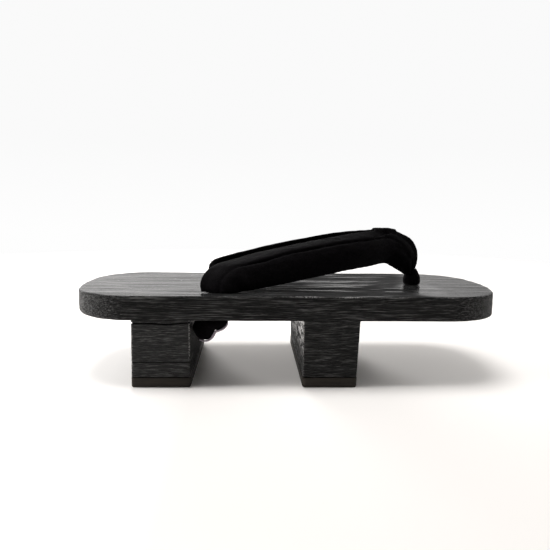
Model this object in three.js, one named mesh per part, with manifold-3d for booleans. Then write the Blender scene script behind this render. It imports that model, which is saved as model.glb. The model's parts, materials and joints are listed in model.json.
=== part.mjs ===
// Geta: a wooden deck on two teeth with rubber treads, and a padded cloth strap held at a toe post.
// Millimetres. The heel points to -X, the toe to +X, the wearer's left to +Y and up is +Z.
// The origin is under the middle of the deck, on the floor.
import * as THREE from "three";
import { mergeVertices } from "three/addons/utils/BufferGeometryUtils.js";
import Module from "manifold-3d";

const wasm = await Module();
wasm.setup();

// Clearances
const seatGap = 0.3;
const holeGap = 0.4;

// How many flats make up each round form
const endSteps = 10;
const cornerSteps = 14;
const blockCornerSteps = 4;
const roundSteps = 3;
const rodSides = 28;
const lobeSides = 20;
const lobeBands = 12;

// Deck
const deckLength = 260;
const deckWidth = 108;
const deckThickness = 14.2;
const heelCornerRadius = 36;
const heelEndRadius = 150;
const toeCornerRadius = 34;
const toeEndRadius = 110;
const topEdgeRound = 1;
const sideBottomRound = 0.5;
const heelBottomRound = 2.5;
const toeBottomRound = 1.2;

// Teeth, the lift under the rear one and the treads
const treadThickness = 6;
const treadProud = 0.3;
const treadEdgeRound = 1.2;
const treadCornerRadius = 2.2;
const liftHeight = 9.1;
const toothHeight = 33.3;
const toothCornerRadius = 1;
const rearToothLength = 33.5;
const rearToothFromHeel = 38.5;
const frontToothLength = 33;
const frontToothFromHeel = 137;
const frontToothTaper = 1.6;

// Holes that the strap and the toe post pass through
const rearHoleFromHeel = 86;
const rearHoleFromSide = 17;
const rearHoleRadius = 5;
const frontHoleFromToe = 47.3;
const frontHoleRadius = 4.6;

// Padded strap
const strapRise = 36;
const strapPad = 10;
const strapBow = 5.5;
const creaseDepth = 1.5;

// Toe post and knots
const collarRadius = 5.5;
const neckHeight = 8;
const frontKnot = { length: 17, width: 16, drop: 7.4 };
const rearKnot = { length: 21, width: 15, drop: 14.6 };

// Places that follow from the sizes
const deckBottom = treadThickness + toothHeight;
const deckTop = deckBottom + deckThickness;
const heelX = -deckLength / 2;
const toeX = deckLength / 2;
const rearHoleX = heelX + rearHoleFromHeel;
const rearHoleY = deckWidth / 2 - rearHoleFromSide;
const frontHoleX = toeX - frontHoleFromToe;

// Outline rings: arcs that follow each other round a convex form, with the outward normal at each point
function arcPoints(arcs) {
  const points = [];
  for (const arc of arcs) {
    for (let i = 0; i <= arc.steps; i++) {
      const angle = arc.from + ((arc.to - arc.from) * i) / arc.steps;
      const nx = Math.cos(angle);
      const ny = Math.sin(angle);
      points.push({ x: arc.x + arc.radius * nx, y: arc.y + arc.radius * ny, nx, ny });
    }
  }
  return points;
}

function deckOutline() {
  const end = (reach, endRadius, cornerRadius) => {
    const side = deckWidth / 2 - cornerRadius;
    const half = Math.asin(side / (endRadius - cornerRadius));
    const endCentre = reach - endRadius;
    return {
      side,
      half,
      endCentre,
      cornerCentre: endCentre + (endRadius - cornerRadius) * Math.cos(half),
    };
  };
  const toe = end(toeX, toeEndRadius, toeCornerRadius);
  const heel = end(-heelX, heelEndRadius, heelCornerRadius);
  const quarter = Math.PI / 2;
  const corner = (x, y, radius, from, to) => ({ x, y, radius, from, to, steps: cornerSteps });
  const cap = (x, radius, from, to) => ({ x, y: 0, radius, from, to, steps: endSteps });
  return arcPoints([
    cap(toe.endCentre, toeEndRadius, -toe.half, toe.half),
    corner(toe.cornerCentre, toe.side, toeCornerRadius, toe.half, quarter),
    corner(-heel.cornerCentre, heel.side, heelCornerRadius, quarter, 2 * quarter - heel.half),
    cap(-heel.endCentre, heelEndRadius, 2 * quarter - heel.half, 2 * quarter + heel.half),
    corner(-heel.cornerCentre, -heel.side, heelCornerRadius, 2 * quarter + heel.half, 3 * quarter),
    corner(toe.cornerCentre, -toe.side, toeCornerRadius, 3 * quarter, 4 * quarter - toe.half),
  ]);
}

function blockOutline(rear, front, halfWidth, radius) {
  const quarter = Math.PI / 2;
  const corner = (x, y, turn) => ({
    x,
    y,
    radius,
    from: turn * quarter,
    to: (turn + 1) * quarter,
    steps: blockCornerSteps,
  });
  const inner = halfWidth - radius;
  return arcPoints([
    corner(front - radius, inner, 0),
    corner(rear + radius, inner, 1),
    corner(rear + radius, -inner, 2),
    corner(front - radius, -inner, 3),
  ]);
}

// A closed body through rings of the same number of points, with a fan over each end
function loft(rings) {
  const positions = [];
  const count = rings[0].length;
  const triangle = (a, b, c) => positions.push(...a, ...b, ...c);
  const quad = (a, b, c, d) => {
    triangle(a, b, c);
    triangle(a, c, d);
  };
  for (let row = 0; row + 1 < rings.length; row++) {
    for (let i = 0; i < count; i++) {
      const next = (i + 1) % count;
      quad(rings[row][i], rings[row][next], rings[row + 1][next], rings[row + 1][i]);
    }
  }
  const fan = (ring, turned) => {
    const centre = [0, 1, 2].map((axis) => ring.reduce((sum, p) => sum + p[axis], 0) / count);
    for (let i = 0; i < count; i++) {
      const next = (i + 1) % count;
      if (turned) triangle(centre, ring[next], ring[i]);
      else triangle(centre, ring[i], ring[next]);
    }
  };
  fan(rings[0], true);
  fan(rings[rings.length - 1], false);
  const geometry = new THREE.BufferGeometry();
  geometry.setAttribute("position", new THREE.Float32BufferAttribute(positions, 3));
  return geometry;
}

// Joins and cuts
function solid(geometry) {
  const bare = geometry.clone();
  bare.deleteAttribute("normal");
  bare.deleteAttribute("uv");
  const merged = mergeVertices(bare, 1e-4);
  return new wasm.Manifold(
    new wasm.Mesh({
      numProp: 3,
      vertProperties: new Float32Array(merged.attributes.position.array),
      triVerts: new Uint32Array(merged.index.array),
    }),
  );
}

function geometryOf(body) {
  const made = body.getMesh();
  const geometry = new THREE.BufferGeometry();
  geometry.setAttribute("position", new THREE.BufferAttribute(made.vertProperties, 3));
  geometry.setIndex(new THREE.BufferAttribute(made.triVerts, 1));
  const flat = geometry.toNonIndexed();
  flat.computeVertexNormals();
  return flat;
}

function rod(x, y, bottom, top, radius) {
  const geometry = new THREE.CylinderGeometry(radius, radius, top - bottom, rodSides);
  geometry.rotateX(Math.PI / 2);
  geometry.translate(x, y, (top + bottom) / 2);
  return solid(geometry);
}

function lobe(centre, radii) {
  const geometry = new THREE.SphereGeometry(1, lobeSides, lobeBands);
  geometry.rotateX(Math.PI / 2);
  geometry.scale(...radii);
  geometry.translate(...centre);
  return solid(geometry);
}

// Deck
function ringAt(outline, inset, height) {
  return outline.map((p) => {
    const pull = inset(p);
    return [p.x - p.nx * pull, p.y - p.ny * pull, height(p)];
  });
}

function roundedRing(outline, step, round, level, up) {
  const angle = ((Math.PI / 2) * step) / roundSteps;
  return ringAt(
    outline,
    (p) => round(p) * (1 - Math.sin(angle)),
    (p) => level + up * round(p) * (1 - Math.cos(angle)),
  );
}

function bottomRound(p) {
  const end = p.nx < 0 ? heelBottomRound : toeBottomRound;
  const share = THREE.MathUtils.smoothstep(Math.abs(p.nx), 0, 1);
  return sideBottomRound + (end - sideBottomRound) * share;
}

function deckGeometry() {
  const outline = deckOutline();
  const rings = [];
  for (let step = 0; step <= roundSteps; step++) {
    rings.push(roundedRing(outline, step, bottomRound, deckBottom, 1));
  }
  for (let step = roundSteps; step >= 0; step--) {
    rings.push(roundedRing(outline, step, () => topEdgeRound, deckTop, -1));
  }
  const past = deckThickness / 4;
  let board = solid(loft(rings));
  board = board.subtract(
    rod(frontHoleX, 0, deckBottom - past, deckTop + past, frontHoleRadius),
  );
  for (const side of [-1, 1]) {
    const hole = rod(rearHoleX, side * rearHoleY, deckBottom - past, deckTop + past, rearHoleRadius);
    board = board.subtract(hole);
  }
  return geometryOf(board);
}

// Teeth, lift and treads
function blockGeometry(block) {
  const halfWidth = deckWidth / 2;
  const ring = (front, level) =>
    blockOutline(block.rear, front, halfWidth, toothCornerRadius).map((p) => [p.x, p.y, level]);
  return loft([ring(block.frontBelow, block.bottom), ring(block.frontAbove, block.top)]);
}

function treadGeometry(rear, front) {
  const outline = blockOutline(
    rear - treadProud,
    front + treadProud,
    deckWidth / 2 + treadProud,
    treadCornerRadius,
  );
  const rings = [];
  for (let step = 0; step <= roundSteps; step++) {
    rings.push(roundedRing(outline, step, () => treadEdgeRound, 0, 1));
  }
  rings.push(outline.map((p) => [p.x, p.y, treadThickness]));
  return loft(rings);
}

// One half of the strap. Each row is a section from its low edge to its top edge. Of each edge, X is a share
// of the way from the rear hole to the front one, Y a share of the rear hole's distance from the middle and Z
// a share of strapRise over the deck. Pad is a share of strapPad. Fold is how far the band is bent along its
// crease, which also sets its bow, and bendAt is how far up the band the crease lies.
const strapRows = [
  { low: [0.11, 1.09, 0], top: [-0.07, 1.07, 0], pad: 0.86, fold: 0, bendAt: 0.5 },
  { low: [0.112, 1.1, 0.01], top: [-0.075, 1.01, 0.12], pad: 0.92, fold: 0, bendAt: 0.5 },
  { low: [0.12, 1.11, 0.02], top: [-0.066, 0.87, 0.24], pad: 0.97, fold: 0.1, bendAt: 0.48 },
  { low: [0.135, 1.11, 0.03], top: [-0.042, 0.66, 0.335], pad: 1, fold: 0.4, bendAt: 0.44 },
  { low: [0.155, 1.11, 0.035], top: [-0.005, 0.51, 0.395], pad: 1, fold: 0.8, bendAt: 0.4 },
  { low: [0.18, 1.1, 0.05], top: [0.05, 0.45, 0.45], pad: 1, fold: 1, bendAt: 0.37 },
  { low: [0.23, 1.07, 0.08], top: [0.12, 0.42, 0.52], pad: 1, fold: 1, bendAt: 0.38 },
  { low: [0.3, 1.02, 0.12], top: [0.22, 0.4, 0.61], pad: 1, fold: 1, bendAt: 0.43 },
  { low: [0.39, 0.95, 0.18], top: [0.33, 0.4, 0.7], pad: 1, fold: 1, bendAt: 0.5 },
  { low: [0.49, 0.865, 0.238], top: [0.45, 0.4, 0.79], pad: 1, fold: 1, bendAt: 0.53 },
  { low: [0.585, 0.757, 0.295], top: [0.565, 0.39, 0.87], pad: 1, fold: 1, bendAt: 0.58 },
  { low: [0.67, 0.61, 0.335], top: [0.665, 0.33, 0.928], pad: 1, fold: 0.9, bendAt: 0.65 },
  { low: [0.75, 0.43, 0.36], top: [0.755, 0.2, 0.965], pad: 0.98, fold: 0.6, bendAt: 0.7 },
  { low: [0.81, 0.27, 0.385], top: [0.83, 0.07, 0.995], pad: 0.96, fold: 0.3, bendAt: 0.71 },
  { low: [0.845, 0.17, 0.385], top: [0.9, 0.03, 0.97], pad: 0.95, fold: 0.15, bendAt: 0.7 },
  { low: [0.87, 0.125, 0.36], top: [0.96, 0.022, 0.89], pad: 0.94, fold: 0.05, bendAt: 0.66 },
  { low: [0.89, 0.1, 0.32], top: [1, 0.018, 0.78], pad: 0.93, fold: 0, bendAt: 0.6 },
  { low: [0.917, 0.08, 0.275], top: [1.025, 0.014, 0.6], pad: 0.9, fold: 0, bendAt: 0.55 },
  { low: [0.941, 0.06, 0.22], top: [1.027, 0.01, 0.43], pad: 0.82, fold: 0, bendAt: 0.5 },
  { low: [0.96, 0.043, 0.183], top: [1.018, 0.01, 0.3], pad: 0.74, fold: 0, bendAt: 0.5 },
];

// The padded section: across runs from the low edge to the top edge, out is a share of the pad
const padSection = [
  { across: 0, out: 0 },
  { across: 0.015, out: 0.16 },
  { across: 0.05, out: 0.3 },
  { across: 0.11, out: 0.43 },
  { across: 0.19, out: 0.52 },
  { across: 0.28, out: 0.56 },
  { across: 0.37, out: 0.54 },
  { across: 0.44, out: 0.49 },
  { across: 0.475, out: 0.45 },
  { across: 0.5, out: 0.42, crease: 1 },
  { across: 0.525, out: 0.43 },
  { across: 0.57, out: 0.42 },
  { across: 0.66, out: 0.33 },
  { across: 0.77, out: 0.2 },
  { across: 0.87, out: 0.11 },
  { across: 0.95, out: 0.06 },
  { across: 1, out: 0 },
  { across: 0.985, out: -0.09 },
  { across: 0.94, out: -0.17 },
  { across: 0.82, out: -0.25 },
  { across: 0.62, out: -0.3 },
  { across: 0.42, out: -0.32 },
  { across: 0.22, out: -0.3 },
  { across: 0.08, out: -0.22 },
  { across: 0.02, out: -0.12 },
];

// Where the pad would reach into the deck it lies pressed flat on it, lowest at the rear hole
const pressedShare = 0.3;
const seat = deckTop + seatGap;

function strapPoint(x, y, z) {
  return new THREE.Vector3(
    rearHoleX + x * (frontHoleX - rearHoleX),
    -y * rearHoleY,
    seat + z * strapRise,
  );
}

// Spreads the places across the outer face so that the middle of the table lies on the row's crease
function shifted(across, bendAt) {
  if (across <= 0.5) return 2 * across * bendAt;
  return bendAt + (2 * across - 1) * (1 - bendAt);
}

function strapHalf() {
  const rows = strapRows.map((row) => {
    const low = strapPoint(...row.low);
    const top = strapPoint(...row.top);
    return { ...row, low, top, middle: low.clone().add(top).multiplyScalar(0.5) };
  });
  const lastRow = rows.length - 1;
  return rows.map((row, i) => {
    const up = row.top.clone().sub(row.low);
    const before = rows[Math.max(i - 1, 0)].middle;
    const after = rows[Math.min(i + 1, lastRow)].middle;
    const along = i === 0 ? new THREE.Vector3(0, 0, 1) : after.clone().sub(before);
    const outward = along.cross(up).normalize();
    const flattened = seat + (row.low.z - seat) * pressedShare;
    return padSection.map((spot) => {
      const share = spot.out < 0 ? spot.across : shifted(spot.across, row.bendAt);
      const bulge = 1 - (2 * spot.across - 1) ** 2;
      const dip = (spot.crease ?? 0) * creaseDepth;
      const offset = spot.out * row.pad * strapPad + row.fold * (strapBow * bulge - dip);
      const p = row.low.clone().addScaledVector(up, share).addScaledVector(outward, offset);
      return [p.x, p.y, i === 0 ? seat : Math.max(p.z, flattened)];
    });
  });
}

function strapGeometry() {
  const half = strapHalf();
  const right = half.map((ring) => ring.slice().reverse());
  const left = half.map((ring) => ring.map(([x, y, z]) => [x, -y, z]));
  return geometryOf(solid(loft(right)).add(solid(loft(left))));
}

// Toe post: a stem through the deck, a collar that bulges over the hole and a pinched neck that leans.
// Up is a share of neckHeight, radius and shift are shares of collarRadius, tilt is a slope.
const collarRows = [
  { up: 0, radius: 0.84, shift: 0, tilt: 0 },
  { up: 0.06, radius: 0.95, shift: 0, tilt: 0 },
  { up: 0.2, radius: 1, shift: 0, tilt: 0 },
  { up: 0.4, radius: 1, shift: 0, tilt: 0.05 },
  { up: 0.6, radius: 0.95, shift: -0.02, tilt: 0.15 },
  { up: 0.8, radius: 0.84, shift: -0.1, tilt: 0.33 },
  { up: 1, radius: 0.7, shift: -0.2, tilt: 0.56 },
];

function postGeometry() {
  const rings = collarRows.map((row) => {
    const radius = row.radius * collarRadius;
    const ring = [];
    for (let i = 0; i < rodSides; i++) {
      const angle = (2 * Math.PI * i) / rodSides;
      const reach = radius * Math.cos(angle);
      const x = frontHoleX + row.shift * collarRadius + reach;
      ring.push([x, radius * Math.sin(angle), seat + row.up * neckHeight + row.tilt * reach]);
    }
    return ring;
  });
  const stem = rod(frontHoleX, 0, deckBottom, seat + neckHeight / 2, frontHoleRadius - holeGap);
  return geometryOf(solid(loft(rings)).add(stem));
}

// Knots under the deck, each a bunch of lobes of tied cloth. X, y and z are shares of the knot's length,
// width and drop from the middle of its hole at the deck's underside, and so are the radii.
const frontKnotLobes = [
  { x: 0, y: 0, z: -0.5, rx: 0.5, ry: 0.4, rz: 0.5 },
  { x: -0.17, y: 0, z: -0.53, rx: 0.31, ry: 0.5, rz: 0.45 },
];
const rearKnotLobes = [
  { x: -0.34, y: 0, z: -0.5, rx: 0.31, ry: 0.46, rz: 0.5 },
  { x: 0.05, y: 0.06, z: -0.29, rx: 0.29, ry: 0.36, rz: 0.27 },
  { x: -0.1, y: -0.05, z: -0.3, rx: 0.3, ry: 0.5, rz: 0.28 },
];

function knot(lobes, x, y, side, size) {
  const top = deckBottom - seatGap;
  const bodies = lobes.map((part) =>
    lobe(
      [
        x + part.x * size.length,
        y + side * part.y * size.width,
        top + part.z * size.drop,
      ],
      [part.rx * size.length, part.ry * size.width, part.rz * size.drop],
    ),
  );
  return bodies.reduce((joined, body) => joined.add(body));
}

function frontKnotGeometry() {
  return geometryOf(knot(frontKnotLobes, frontHoleX, 0, 1, frontKnot));
}

function rearKnotGeometry(side) {
  const y = side * rearHoleY;
  const tailEnd = deckBottom - rearKnot.drop / 3;
  const tail = rod(rearHoleX, y, tailEnd, deckTop, rearHoleRadius - holeGap);
  return geometryOf(tail.add(knot(rearKnotLobes, rearHoleX, y, side, rearKnot)));
}

// Materials and the assembly
const materials = {
  stainedWood: { color: 0x2a2928, roughness: 0.5, metalness: 0 },
  rubber: { color: 0x241f1d, roughness: 0.85, metalness: 0 },
  cloth: { color: 0x121213, roughness: 0.95, metalness: 0 },
};

const geta = new THREE.Group();

function addPiece(name, geometry, finish) {
  const mesh = new THREE.Mesh(geometry, new THREE.MeshStandardMaterial(materials[finish]));
  mesh.name = name;
  geta.add(mesh);
}

const rearTooth = heelX + rearToothFromHeel;
const frontTooth = heelX + frontToothFromHeel;
const rearToothFront = rearTooth + rearToothLength;
const frontToothFront = frontTooth + frontToothLength;
const liftTop = treadThickness + liftHeight;

addPiece("deck", deckGeometry(), "stainedWood");
addPiece(
  "rear_tooth",
  blockGeometry({
    rear: rearTooth,
    frontBelow: rearToothFront,
    frontAbove: rearToothFront,
    bottom: liftTop,
    top: deckBottom,
  }),
  "stainedWood",
);
addPiece(
  "rear_lift",
  blockGeometry({
    rear: rearTooth,
    frontBelow: rearToothFront,
    frontAbove: rearToothFront,
    bottom: treadThickness,
    top: liftTop,
  }),
  "stainedWood",
);
addPiece(
  "front_tooth",
  blockGeometry({
    rear: frontTooth,
    frontBelow: frontToothFront - frontToothTaper,
    frontAbove: frontToothFront,
    bottom: treadThickness,
    top: deckBottom,
  }),
  "stainedWood",
);
addPiece("rear_tread", treadGeometry(rearTooth, rearToothFront), "rubber");
addPiece("front_tread", treadGeometry(frontTooth, frontToothFront - frontToothTaper), "rubber");
addPiece("strap", strapGeometry(), "cloth");
addPiece("toe_post", postGeometry(), "cloth");
addPiece("front_knot", frontKnotGeometry(), "cloth");
addPiece("rear_knot_right", rearKnotGeometry(-1), "cloth");
addPiece("rear_knot_left", rearKnotGeometry(1), "cloth");

export default geta;
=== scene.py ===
"""Geta sandal: a black stained wooden deck on two teeth with rubber treads, and a padded cloth strap.

Metres, in the part's own frame: the heel points to -X, the toe to +X, the wearer's left to +Y and up is +Z.
Sizes of the shoe are written in millimetres and turned into metres by MM.
"""

import json
import math
from types import SimpleNamespace

import bmesh
import bpy
import numpy as np
from mathutils import Matrix, Vector, noise

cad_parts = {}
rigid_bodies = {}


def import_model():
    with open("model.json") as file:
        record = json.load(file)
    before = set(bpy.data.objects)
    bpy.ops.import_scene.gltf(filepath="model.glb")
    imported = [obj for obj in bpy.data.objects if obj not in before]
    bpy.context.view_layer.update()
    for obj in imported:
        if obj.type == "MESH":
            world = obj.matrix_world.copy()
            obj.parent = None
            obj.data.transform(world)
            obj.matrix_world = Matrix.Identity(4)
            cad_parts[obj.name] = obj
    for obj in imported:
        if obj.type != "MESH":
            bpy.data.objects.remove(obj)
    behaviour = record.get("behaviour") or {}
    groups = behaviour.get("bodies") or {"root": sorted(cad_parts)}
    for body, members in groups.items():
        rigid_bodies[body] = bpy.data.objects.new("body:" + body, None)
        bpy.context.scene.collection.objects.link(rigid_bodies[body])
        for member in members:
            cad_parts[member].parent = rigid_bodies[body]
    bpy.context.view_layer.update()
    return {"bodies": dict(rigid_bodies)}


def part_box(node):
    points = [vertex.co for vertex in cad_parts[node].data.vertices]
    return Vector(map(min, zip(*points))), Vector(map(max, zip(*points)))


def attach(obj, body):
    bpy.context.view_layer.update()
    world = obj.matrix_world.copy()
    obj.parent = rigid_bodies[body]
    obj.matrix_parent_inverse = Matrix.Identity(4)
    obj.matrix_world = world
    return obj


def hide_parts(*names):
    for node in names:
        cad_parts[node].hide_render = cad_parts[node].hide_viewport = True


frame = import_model()

MM = 0.001
BODY = next(iter(frame["bodies"]))


def node_box(name):
    """Lowest and highest corner of a node, in millimetres."""
    low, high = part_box(name)
    return np.array(low) / MM, np.array(high) / MM


# Sizes of the shoe, in millimetres

DECK_LOW, DECK_HIGH = node_box("deck")
HEEL_CORNER, HEEL_END = 36.0, 150.0
TOE_CORNER, TOE_END = 34.0, 110.0
TOP_ROUND = 1.0
SIDE_BOTTOM_ROUND, HEEL_BOTTOM_ROUND, TOE_BOTTOM_ROUND = 0.5, 2.5, 1.2
REAR_HOLE_FROM_HEEL, REAR_HOLE_FROM_SIDE, REAR_HOLE_RADIUS = 86.0, 17.0, 5.0
FRONT_HOLE_FROM_TOE, FRONT_HOLE_RADIUS = 47.3, 4.6
HOLE_GAP = 0.4
SEAT_GAP = 0.3
STRAP_RISE, STRAP_PAD, STRAP_BOW = 36.0, 10.0, 5.5
COLLAR_RADIUS, NECK_HEIGHT = 5.5, 8.0

DECK_TOP = DECK_HIGH[2]
DECK_BOTTOM = DECK_LOW[2]
SEAT = DECK_TOP + SEAT_GAP
REAR_HOLE_X = DECK_LOW[0] + REAR_HOLE_FROM_HEEL
REAR_HOLE_Y = DECK_HIGH[1] - REAR_HOLE_FROM_SIDE
FRONT_HOLE_X = DECK_HIGH[0] - FRONT_HOLE_FROM_TOE

# Camera, as the photograph sees the shoe: place in millimetres, turns in radians, focal length in pixels

CAMERA_PLACE = (-24.35, -399.81, 111.07)
CAMERA_YAW, CAMERA_PITCH, CAMERA_ROLL = -0.04188, -0.12965, -0.01233
FOCAL_PIXELS, PHOTO_PIXELS = 616.4, 550
SENSOR_WIDTH = 36.0


def new_object(name, data):
    made = bpy.data.objects.new(name, data)
    bpy.context.scene.collection.objects.link(made)
    return made


def make_camera():
    data = bpy.data.cameras.new("camera")
    data.sensor_width = SENSOR_WIDTH
    data.lens = SENSOR_WIDTH * FOCAL_PIXELS / PHOTO_PIXELS
    data.clip_start, data.clip_end = 0.01, 50
    camera = new_object("camera", data)
    turn = (
        Matrix.Rotation(CAMERA_YAW, 4, "Z")
        @ Matrix.Rotation(CAMERA_PITCH, 4, "X")
        @ Matrix.Rotation(CAMERA_ROLL, 4, "Y")
        @ Matrix.Rotation(math.radians(90), 4, "X")
    )
    camera.matrix_world = Matrix.Translation(Vector(CAMERA_PLACE) * MM) @ turn
    bpy.context.scene.camera = camera


# Node trees

def add_node(tree, kind, values=None, **settings):
    """A shader node with its settings, and a value or a link for each socket by name or number."""
    made = tree.nodes.new(kind)
    for name, value in settings.items():
        setattr(made, name, value)
    for name, value in (values or {}).items():
        socket = made.inputs[name]
        if isinstance(value, bpy.types.NodeSocket):
            tree.links.new(value, socket)
        else:
            socket.default_value = value
    return made


def stretched_noise(tree, place, lengths, detail=3.0, roughness=0.55, distortion=0.0):
    """Noise whose features have these lengths in millimetres along X, Y and Z."""
    scale = tuple(1 / (length * MM) for length in lengths)
    mapped = add_node(tree, "ShaderNodeMapping", {"Vector": place, "Scale": scale})
    values = {"Scale": 1.0, "Detail": detail, "Roughness": roughness, "Distortion": distortion}
    return add_node(tree, "ShaderNodeTexNoise", {"Vector": mapped.outputs[0], **values}).outputs["Fac"]


def map_range(tree, value, low, high, to_low=0.0, to_high=1.0):
    values = {"Value": value, "From Min": low, "From Max": high, "To Min": to_low, "To Max": to_high}
    return add_node(tree, "ShaderNodeMapRange", values).outputs["Result"]


def fade(tree, value, ends, to_low=0.0, to_high=1.0):
    """A change between two places in millimetres."""
    return map_range(tree, value, ends[0] * MM, ends[1] * MM, to_low, to_high)


def math_node(tree, operation, first, second):
    return add_node(tree, "ShaderNodeMath", {0: first, 1: second}, operation=operation).outputs[0]


def vector_math(tree, operation, first, second=(0, 0, 0)):
    made = add_node(tree, "ShaderNodeVectorMath", {0: first, 1: second}, operation=operation)
    return made.outputs["Value" if operation == "LENGTH" else "Vector"]


def split(tree, vector):
    return add_node(tree, "ShaderNodeSeparateXYZ", {0: vector}).outputs


def mix_values(tree, share, first, second):
    return add_node(tree, "ShaderNodeMix", {0: share, 2: first, 3: second}, data_type="FLOAT").outputs[0]


def mix_colour(tree, share, first, second):
    return add_node(tree, "ShaderNodeMix", {0: share, 6: first, 7: second}, data_type="RGBA").outputs[2]


def set_bump(tree, shader, height, strength, distance):
    """Gives a shader bumps: a height of 1 stands for this distance in millimetres."""
    values = {"Height": height, "Strength": strength, "Distance": distance * MM}
    tree.links.new(add_node(tree, "ShaderNodeBump", values).outputs[0], shader.inputs["Normal"])


def grey(value, warmth=0.0):
    """A near grey colour: warmth above 0 leans to brown."""
    return (value * (1 + warmth), value, value * (1 - warmth), 1.0)


def plum(value):
    """A near grey colour with a trace of purple, as the cloth has."""
    return (value * 1.12, value * 0.96, value * 1.12, 1.0)


def new_material(name):
    material = bpy.data.materials.new(name)
    material.use_nodes = True
    tree = material.node_tree
    return material, tree, tree.nodes["Principled BSDF"]


# Wood. Heights and places along X are in millimetres, each pair being where a change starts and ends.

# Heights over which a painted reflection lightens the feathered strokes on the end faces, brightest high
# up.
STROKES_LIT = (16, 36)
LOW_ENDS_DULL = (33, 14)
HEEL_CRACKED = (DECK_LOW[0] + 30, DECK_LOW[0] + 6)
RUBBED_FROM, RUBBED_TO = (-50, 10), (92, 78)
GLOSSY_ACROSS, GLOSSY_RADII = -22, (13.3, 31.2)
JOINT_SOFT = 0.25


def wood_pattern(tree, streak, pitch, waviness):
    """The places, masks and grain that the wood's colour, gloss and bumps share."""
    coordinates = add_node(tree, "ShaderNodeTexCoord").outputs
    place = coordinates["Object"]
    facing = split(tree, coordinates["Normal"])
    end_face = map_range(tree, math_node(tree, "ABSOLUTE", facing["X"], 0.0), 0.45, 0.85)
    sway = stretched_noise(tree, place, (30, 20, 14), detail=1.0)
    shift = map_range(tree, sway, 0.0, 1.0, -waviness * MM, waviness * MM)
    offset = add_node(tree, "ShaderNodeCombineXYZ", {"Z": shift, "Y": shift}).outputs[0]
    bent = vector_math(tree, "ADD", place, offset)
    grain = stretched_noise(tree, bent, (streak, pitch, pitch), roughness=0.6)
    fibres = stretched_noise(tree, bent, (streak * 0.4, pitch * 0.6, pitch * 0.6), detail=2.0)
    coarse = stretched_noise(tree, bent, (8, 18, 2.4), detail=2.0, distortion=1.2)
    return SimpleNamespace(
        place=place,
        bent=bent,
        spot=split(tree, place),
        polished=map_range(tree, facing["Z"], 0.55, 0.95),
        end_face=end_face,
        bands=stretched_noise(tree, bent, (streak * 4, pitch * 6, pitch * 6), detail=2.0),
        grain=grain,
        lines=map_range(tree, grain, 0.44, 0.57),
        fibre=map_range(tree, fibres, 0.4, 0.55),
        feathered=math_node(tree, "MULTIPLY", map_range(tree, coarse, 0.46, 0.54), end_face),
    )


def wood_colour(tree, wood, dark, light, end_light):
    """Stained furrows and ridges, a painted reflection as light strokes high on the end faces, and pale
    specks that are partly bare rubbed wood and partly painted highlight glints on rounded edges.
    """
    stain = mix_colour(tree, wood.lines, grey(dark), grey(light, 0.01))
    banded = mix_colour(tree, map_range(tree, wood.bands, 0.2, 0.5), grey(light * 0.4), stain)
    brushed = mix_colour(tree, wood.fibre, grey(dark), banded)
    # Painted reflection: the feathered strokes on the end faces take the end_light grey only high up, where
    # a lit floor would be mirrored.
    high_up = fade(tree, wood.spot["Z"], STROKES_LIT)
    strokes = math_node(tree, "MULTIPLY", wood.feathered, high_up)
    ends = mix_colour(tree, strokes, brushed, grey(end_light, 0.03))
    calmed = mix_colour(tree, math_node(tree, "MULTIPLY", wood.polished, 0.6), ends, grey(0.012))
    # Painted highlight, partly real: where this attribute is high, pale specks stand for glints on rounded
    # edges as well as for wood rubbed bare.
    wear_and_glints = add_node(tree, "ShaderNodeAttribute", attribute_name="wear_and_glints").outputs["Fac"]
    specks = stretched_noise(tree, wood.place, (0.65, 0.65, 0.65), detail=2.0, roughness=0.7)
    bare_and_glint_specks = math_node(tree, "MULTIPLY", wear_and_glints, map_range(tree, specks, 0.49, 0.56))
    return mix_colour(tree, bare_and_glint_specks, calmed, grey(0.6, 0.02))


def add_flakes(tree, wood, colour):
    """Grey flakes between the fine cracks of the heel's end grain."""
    spots = stretched_noise(tree, wood.place, (0.95, 0.95, 0.8), detail=1.0)
    not_top = math_node(tree, "SUBTRACT", 1.0, wood.polished)
    flakes = math_node(tree, "MULTIPLY", map_range(tree, spots, 0.51, 0.6), not_top)
    at_heel = fade(tree, wood.spot["X"], HEEL_CRACKED)
    return mix_colour(tree, math_node(tree, "MULTIPLY", flakes, at_heel), colour, grey(0.17, 0.01))


def add_joint(tree, wood, colour, level, wander, half_width):
    """A dark line round the block at this height, in millimetres like its wander and half width."""
    wobble = stretched_noise(tree, wood.place, (9, 40, 40), detail=2.0)
    moved = map_range(tree, wobble, 0.25, 0.75, (-level - wander) * MM, (-level + wander) * MM)
    distance = math_node(tree, "ABSOLUTE", math_node(tree, "ADD", wood.spot["Z"], moved), 0.0)
    on_line = fade(tree, distance, (half_width, half_width + JOINT_SOFT), 1.0, 0.0)
    return mix_colour(tree, on_line, colour, grey(0.0004))


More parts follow.
